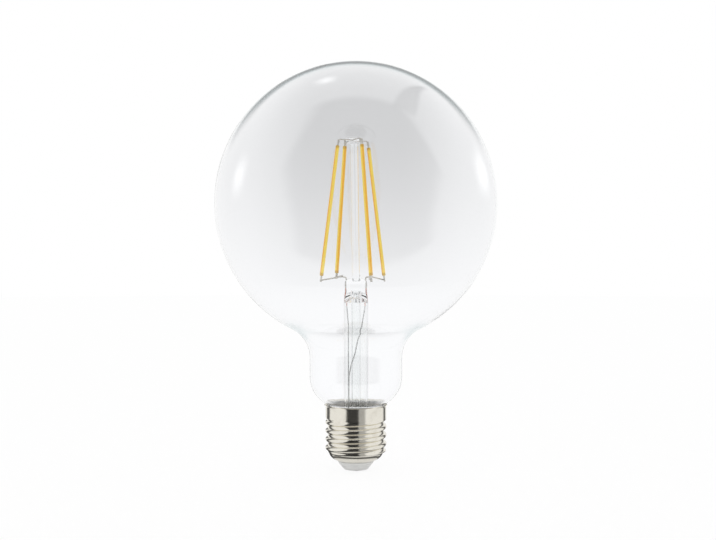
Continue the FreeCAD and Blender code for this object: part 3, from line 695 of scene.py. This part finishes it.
# The insulator is a pale grey moulding through the open foot of the cap: a cone with faint steps
# outside, and inside a flange with two cheeks that hold the board.
plastic_light = (0.88, 0.88, 0.87, 1)
plastic_dark = (0.74, 0.74, 0.73, 1)
plastic_roughness = 0.42
plastic_grain_roughness = 0.1
plastic_shade = 0.2
step_pitch = 0.85 * mm
step_height = 0.08 * mm
step_strength = 0.5
step_painted_shade = 0.25
flow_scale = 260.0
flow_edge = (0.4, 0.65)
flow_shade = 0.5
plastic_grain_scale = 6000.0
plastic_grain_height = 0.3


def paint_insulator(start):
    point = place_on(start)
    flow = noise(stretched(point, 1, 1, 6), flow_scale, detail=3.0)
    grain = noise(point, plastic_grain_scale, detail=2.0)
    steps = point.part("Z").waves(step_pitch)
    pattern = steps + grain * plastic_grain_height
    # Painted shade: the colour goes lighter and darker with the steps, as light would fall on them.
    shade = flow.rise(*flow_edge) * flow_shade + steps * step_painted_shade + plastic_shade
    return {"Base Color": shade.blend(plastic_light, plastic_dark),
            "Roughness": plastic_roughness + grain * plastic_grain_roughness,
            "Normal": relief(pattern, step_height, step_strength)}


dress(material("insulator_plastic", paint_insulator), "cap_insulator")

# The centre contact is a turned pin with a domed head, pressed into the insulator. Its metal is a
# dull dark grey.
contact_bright = (0.30, 0.30, 0.29, 1)
contact_dull = (0.17, 0.17, 0.16, 1)
contact_roughness = 0.38
contact_metal = drawn_metal("contact_metal", contact_bright, contact_dull, contact_roughness)
dress(contact_metal, "centre_contact")

# The driver inside the cap: a laminate board in the insulator's cheeks, with a bridge rectifier,
# a driver chip, two chip resistors, a capacitor, a fusible resistor and the solder on the leads.
# Each finish has its light and dark colour, its roughness and the scale of its grain.
driver_finishes = {
    "driver_board": ((0.06, 0.22, 0.10, 1), (0.04, 0.16, 0.07, 1), 0.45, 1500.0),
    "bridge_rectifier": ((0.030, 0.030, 0.032, 1), (0.022, 0.022, 0.024, 1), 0.5, 3000.0),
    "driver_ic": ((0.030, 0.030, 0.032, 1), (0.022, 0.022, 0.024, 1), 0.5, 3000.0),
    "chip_resistors": ((0.05, 0.05, 0.05, 1), (0.03, 0.03, 0.03, 1), 0.35, 3000.0),
    "smoothing_capacitor": ((0.05, 0.07, 0.10, 1), (0.04, 0.05, 0.08, 1), 0.3, 900.0),
    "fusible_resistor": ((0.42, 0.50, 0.44, 1), (0.34, 0.42, 0.36, 1), 0.4, 1200.0),
    "lead_solder": ((0.55, 0.55, 0.56, 1), (0.45, 0.45, 0.46, 1), 0.3, 1200.0),
}
for name, (light, dark, roughness, grain_scale) in driver_finishes.items():
    dress(plain_finish(name + "_finish", light, dark, roughness, grain_scale), name)

# A pale floor under the lamp, white to the camera. In the glass and the cap, it shows the lower
# part of the studio that they mirror: softboxes at both sides, a dark gap in front of the cap, and
# a wide dim room in front of the globe. Bands run (from, to, soft edge), mostly in degrees.
floor_colour = (0.86, 0.86, 0.86, 1)
floor_radii = (0.02, 0.06, 0.2, 0.6, 3.0)
floor_around = 96
floor_glow = 1.01
floor_fade = (0.3, 3.0)
floor_fade_shade = 0.05
seen_by_camera = 0.9
seen_through_glass = 0.95
seen_in_gloss = 0.97
darkest = 0.03
once = 0.5
twice = 1.5
inside_bulb = 2.5
inner_wall_level = 0.9
# Round the cap: the gap, its half-dark right side, the shade at its foot and the narrow notches.
cap_height = 8 * mm
cap_nearest = 0.02
cap_level = 0.99
# A painted shadow: a dark ring on the floor round the lamp's foot, seen only in the gloss of the
# metal.
painted_shadow_ring = (13.8 * mm, 18.5 * mm, 0.5 * mm)
ring_shade = 0.85
gap_left = -35
gap_right = 10
gap_soft = 2
gap_narrows = (-10, 85)
gap_narrows_left = 12
gap_front = (-72, 100, 4)
gap_front_shade = 0.97
gap_top = (96, 104)
gap_top_shade = 0.8
gap_again_shade = 0.65
side_width = 24
side_soft = 3
side_shade = 0.52
foot_aside = (-40, 40, 6)
foot_over = (-120, -82, 3)
foot_shade = 0.15
notches = ((-138, -113, 4), (124, 144, 4))
notch_lift = (-60, 55, 4)
notch_shade = 0.88
flanks = ((-150, -100, 6), (108, 150, 6))
flank_lift = (-62, -18, 6)
flank_shade = 0.75
# Round the globe: the room, narrower at its top and its foot, a band and a wedge over the top, and
# three lamps.
globe_level = 0.98
brightest = 3.0
room_foot = (-45, 10)
room_left = -54
room_left_top = (35, 90)
room_left_narrows = (31, 14)
room_right = 65
room_right_top = (45, 95)
room_right_narrows = (40, 12)
room_soft = 8
room_over = (-44, 88, 5)
room_shade = 0.85
rear_aside = (20, 40)
rear_over = (145, 160, 4)
rear_shade = 0.55
wedge_left = 20.5
wedge_right = 34
wedge_soft = 1.5
wedge_tapers = (85, 145)
wedge_taper = 13
wedge_over = (87, 136, 4)
wedge_shade = 0.7
left_lamp = ((-115, -103, 6), (8, 20, 7), 1.2)
right_lamp = ((117, 134, 8), (8, 19, 6), 0.9)
rear_lamp = ((-15, -9, 3), (112, 120, 4), 1.1)


def studio_angles(direction):
    """Bearing from the camera's side, height, and the turns over the top and to the side."""
    unit = direction.make("VectorMath", {"operation": "NORMALIZE"}, {0: direction})
    right = unit.part("X")
    up = unit.part("Z")
    ahead = unit.part("Y") * -1.0
    degrees = 180 / math.pi
    bearing = unit.math("ARCTAN2", right, ahead) * degrees
    lift = unit.math("ARCSINE", up) * degrees
    over = unit.math("ARCTAN2", up, ahead) * degrees
    aside = unit.math("ARCSINE", right) * degrees
    return bearing, lift, over, aside


def cap_surroundings(angles, again):
    """What the low cap mirrors: softboxes, and a dark gap from the floor over the top."""
    bearing, lift, over, aside = angles
    narrow = over.rise(*gap_narrows)
    left = gap_left + narrow * gap_narrows_left
    right = gap_right - narrow
    front = over.between(*gap_front) * (1 - again * gap_again_shade)
    gap = front * gap_front_shade + over.rise(*gap_top) * gap_top_shade
    level = cap_level - aside.between(left, right, gap_soft) * gap
    side = aside.between(right, right + side_width, side_soft)
    level = level - side * front * side_shade
    level = level - aside.between(*foot_aside) * over.between(*foot_over) * foot_shade
    for bearings, lifts, shade in ((notches, notch_lift, notch_shade),
                                   (flanks, flank_lift, flank_shade)):
        both = bearing.between(*bearings[0]) + bearing.between(*bearings[1])
        level = level - both * lift.between(*lifts) * shade
    return level.limit(darkest, 1.0)


def globe_surroundings(angles):
    """What the high globe mirrors: a wide dim room in front, and small lamps round it."""
    bearing, lift, over, aside = angles
    below = 1 - over.rise(*room_foot)
    left = room_left + over.rise(*room_left_top) * room_left_narrows[0]
    left = left + below * room_left_narrows[1]
    right = room_right - over.rise(*room_right_top) * room_right_narrows[0]
    right = right - below * room_right_narrows[1]
    room = aside.between(left, right, room_soft) * over.between(*room_over)
    rear = (1 - aside.absolute().rise(*rear_aside)) * over.between(*rear_over)
    edge = wedge_right - over.rise(*wedge_tapers) * wedge_taper
    wedge = aside.between(wedge_left, edge, wedge_soft) * over.between(*wedge_over)
    level = globe_level - room * room_shade - rear * rear_shade - wedge * wedge_shade
    for bearings, lifts, strength in (left_lamp, right_lamp):
        level = level + bearing.between(*bearings) * lift.between(*lifts) * strength
    asides, overs, strength = rear_lamp
    level = level + aside.between(*asides) * over.between(*overs) * strength
    return level.limit(darkest, brightest)


def mirrored_level(paths, from_globe, from_cap, painted_shadow=0.0):
    """Glass mirrors its surroundings sharply. Inside the bulb it mirrors its own bright wall. What
    metal mirrors is darkened by any painted shadow given.
    """
    inside = paths.out("Transmission Depth").above(inside_bulb)
    glass = inside * inner_wall_level + (1 - inside) * globe_surroundings(from_globe)
    again = paths.out("Glossy Depth").above(twice)
    metal = cap_surroundings(from_cap, again) * (1 - (1 - again) * painted_shadow)
    sharp = paths.out("Is Singular Ray")
    return sharp * glass + (1 - sharp) * metal


def angles_from(height, point):
    """The angles of a point of the floor, from a height on the lamp's axis."""
    below = (0, 0, height)
    return studio_angles(point.make("VectorMath", {"operation": "SUBTRACT"}, {0: point, 1: below}))


def paint_floor(start):
    """Matt to the light on it, and white to the camera, through glass and in gloss."""
    paths = start.make("LightPath")
    point = place_on(start)
    away = point.make("VectorMath", {"operation": "LENGTH"}, {0: point}, "Value")
    clear = (1 - collar_radius / away).limit(cap_nearest, 1.0)
    beside = point.make("VectorMath", {"operation": "SCALE"}, {0: point, "Scale": clear})
    from_globe = angles_from(globe_z, point)
    from_cap = angles_from(cap_height, beside)
    # The painted shadow ring darkens the floor where the metal mirrors it.
    level = mirrored_level(paths, from_globe, from_cap, away.between(*painted_shadow_ring) * ring_shade)
    mirrored = paths.out("Glossy Depth").above(once)
    through = paths.out("Transmission Depth").above(once)
    plain = floor_glow - through * away.rise(*floor_fade) * floor_fade_shade
    glow = mirrored * level + (1 - mirrored) * plain
    seen = paths.out("Is Camera Ray") * seen_by_camera
    seen = seen + paths.out("Is Transmission Ray") * seen_through_glass
    seen = seen + paths.out("Is Glossy Ray") * seen_in_gloss
    matt = start.make("BsdfDiffuse", {}, {"Color": floor_colour})
    white = start.make("Emission", {}, {"Color": (1, 1, 1, 1), "Strength": glow})
    mixed = start.make("MixShader", {}, {0: seen.limit(0.0, 1.0), 1: matt, 2: white})
    start.make("OutputMaterial", {}, {"Surface": mixed})


floor_vertices, floor_faces = sleeve(
    [[(0, 0, 0)]] + [circle(radius, 0, floor_around) for radius in floor_radii])
floor_mesh = bpy.data.meshes.new("floor")
floor_mesh.from_pydata(floor_vertices, [], floor_faces)
floor_white = bpy.data.materials.new("floor_white")
paint_floor(empty_tree(floor_white))
floor_mesh.materials.append(floor_white)
floor = bpy.data.objects.new("floor", floor_mesh)
bpy.context.scene.collection.objects.link(floor)

# The white studio round the lamp. Its light is soft and nearly even. The camera sees it white, and
# through the glass it is a little grey above the floor, most of all right behind the lamp.
backdrop_rise = (-6.0, 9.0)
backdrop_shade = 0.17
middle_width = (2.5, 8.0)
middle_shade = 0.14
soft_foot = 0.93
soft_rise = (-10, 80)
soft_gain = 0.07


def paint_studio(start):
    angles = studio_angles(start.make("TexCoord").out("Generated"))
    bearing, lift = angles[:2]
    middle = 1 - (180 - bearing.absolute()).rise(*middle_width)
    backdrop = 1.0 - lift.rise(*backdrop_rise) * (backdrop_shade + middle * middle_shade)
    soft = soft_foot + lift.rise(*soft_rise) * soft_gain
    paths = start.make("LightPath")
    mirrored = mirrored_level(paths, angles, angles)
    glossy = paths.out("Glossy Depth").above(once)
    diffuse = paths.out("Diffuse Depth").above(once)
    through = paths.out("Transmission Depth").above(once)
    direct = paths.out("Is Camera Ray")
    level = glossy * mirrored + (1 - glossy) * (through * backdrop + (1 - through) * soft)
    level = diffuse * soft + (1 - diffuse) * level
    level = direct + (1 - direct) * level
    light = start.make("Background", {}, {"Color": (1, 1, 1, 1), "Strength": level})
    start.make("OutputWorld", {}, {"Surface": light})


world = bpy.data.worlds.new("studio")
paint_studio(empty_tree(world))
world.cycles.sampling_method = "NONE"
bpy.context.scene.world = world

# The camera stands level in front of the lamp, at half the picture's height. Rays may pass many
# walls of glass before they end, so that none of them goes black.
camera_place = (0.9 * mm, -429 * mm, 86.25 * mm)
camera_sensor = 36.0
camera_lens = 50.0
camera_nearest = 0.01
ray_bounces = 32
glass_bounces = 28
gloss_bounces = 8

lens = bpy.data.cameras.new("camera")
lens.sensor_width = camera_sensor
lens.lens = camera_lens
lens.clip_start = camera_nearest
camera = bpy.data.objects.new("camera", lens)
camera.location = camera_place
camera.rotation_euler = (math.pi / 2, 0, 0)
bpy.context.scene.collection.objects.link(camera)
bpy.context.scene.camera = camera
bpy.context.scene.view_settings.view_transform = "Standard"
bpy.context.scene.cycles.max_bounces = ray_bounces
bpy.context.scene.cycles.transmission_bounces = glass_bounces
bpy.context.scene.cycles.glossy_bounces = gloss_bounces
bpy.context.scene.cycles.blur_glossy = 0.0

bpy.context.view_layer.update()
